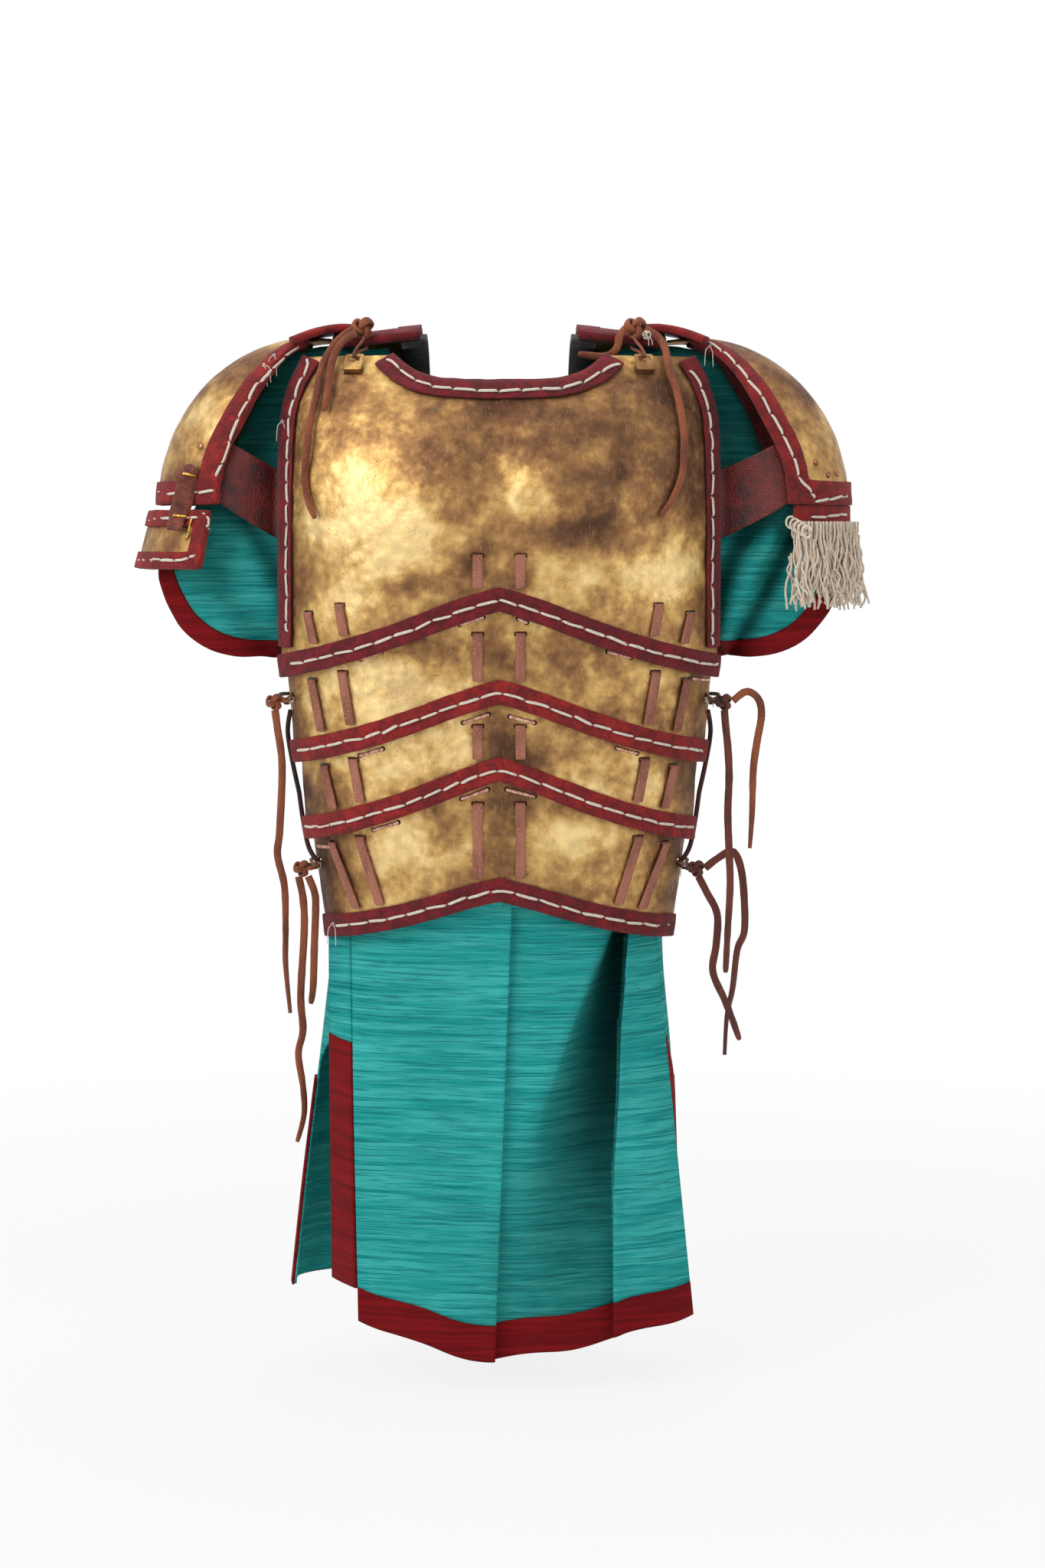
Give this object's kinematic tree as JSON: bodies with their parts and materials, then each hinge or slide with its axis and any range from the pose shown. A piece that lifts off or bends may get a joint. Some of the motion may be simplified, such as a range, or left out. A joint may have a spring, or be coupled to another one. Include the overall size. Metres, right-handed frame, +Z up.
{
  "type": "mycenaean armour",
  "caption": "Laced brass body armour over a short tunic: muscled chest plate, nested belly hoops, back plate, hinged shoulder guards, arm lame and fringe.",
  "frame": {"origin": "midway between the wearer's shoulders, at the height of the shoulder tops", "axes": "+Z up, -Y the way the wearer faces, -X the wearer's right"},
  "size_m": [0.6411, 0.2475, 0.8867],
  "materials": {
    "brass": "hammered, patinated",
    "copper": "drawn copper wire",
    "suede": "dyed suede, matte",
    "strap": "oiled dark red leather",
    "thong": "flat pinkish tan thong",
    "cord": "soft orange-brown thong",
    "cloth": "slubby woven teal cloth",
    "band": "plain red cloth band",
    "pad": "dark felt padding",
    "string": "cream cotton string"
  },
  "bodies": {
    "torso": {"tunic": "cloth", "front_hem_band": "band", "back_hem_band": "band", "right_sleeve_band": "band", "left_sleeve_band": "band", "chest_plate": "brass", "chest_neck_binding": "suede", "chest_right_armhole_binding": "suede", "chest_left_armhole_binding": "suede", "chest_hem_binding": "suede", "chest_lacing": "thong", "back_plate": "brass", "back_plate_binding": "suede", "neck_padding": "pad", "right_shoulder_loop": "brass", "right_shoulder_knot": "cord", "left_shoulder_loop": "brass", "left_shoulder_knot": "cord", "right_arm_strap": "strap", "left_arm_strap": "strap", "right_shoulder_end_long": "cord", "right_shoulder_end_short": "cord", "left_shoulder_end_long": "cord", "left_shoulder_end_neck": "cord"},
    "hoop_1": {"belly_plate_1": "brass", "belly_binding_1": "suede", "belly_lacing_1": "thong", "back_lame_1": "brass", "right_ring_1": "copper", "left_ring_1": "copper", "right_side_tie_1": "cord", "left_side_tie_1": "cord", "right_side_end_1": "cord", "left_side_end_1": "cord", "left_side_end_1_back": "cord"},
    "hoop_2": {"belly_plate_2": "brass", "belly_binding_2": "suede", "belly_lacing_2": "thong", "back_lame_2": "brass"},
    "hoop_3": {"belly_plate_3": "brass", "belly_binding_3": "suede", "belly_lacing_3": "thong", "back_lame_3": "brass", "right_ring_3": "copper", "left_ring_3": "copper", "right_side_tie_3": "cord", "left_side_tie_3": "cord", "right_side_end_3": "cord", "right_side_end_3_back": "cord", "left_side_end_3": "cord", "left_side_end_3_back": "cord"},
    "right_pauldron": {"right_pauldron": "brass", "right_pauldron_binding": "suede"},
    "left_pauldron": {"left_pauldron": "brass", "left_pauldron_binding": "suede"},
    "right_arm_lame": {"right_arm_lame": "brass", "right_arm_lame_binding": "suede", "right_lame_tab": "suede"},
    "left_fringe": {"left_fringe_band": "suede", "left_fringe": "string"}
  },
  "joints": [
    {"name": "hoop_1_lift", "type": "slide", "parent": "torso", "child": "hoop_1", "axis": [0, 0, 1], "range_m": [0, 0.015]},
    {"name": "hoop_2_lift", "type": "slide", "parent": "hoop_1", "child": "hoop_2", "axis": [0, 0, 1], "range_m": [0, 0.015]},
    {"name": "hoop_3_lift", "type": "slide", "parent": "hoop_2", "child": "hoop_3", "axis": [0, 0, 1], "range_m": [0, 0.015]},
    {"name": "right_pauldron_lift", "type": "hinge", "parent": "torso", "child": "right_pauldron", "pos_m": [-0.147, 0, -0.003], "axis": [0, 1, 0], "range_deg": [0, 30]},
    {"name": "left_pauldron_lift", "type": "hinge", "parent": "torso", "child": "left_pauldron", "pos_m": [0.147, 0, -0.003], "axis": [0, -1, 0], "range_deg": [0, 30]},
    {"name": "right_arm_lame_swing", "type": "hinge", "parent": "right_pauldron", "child": "right_arm_lame", "pos_m": [-0.27, -0.065, -0.111], "axis": [-0.6112, 0.7915, 0], "range_deg": [0, 12]},
    {"name": "left_fringe_swing", "type": "hinge", "parent": "left_pauldron", "child": "left_fringe", "pos_m": [0.312, -0.02, -0.149], "axis": [0, -1, 0], "range_deg": [0, 15]}
  ]
}
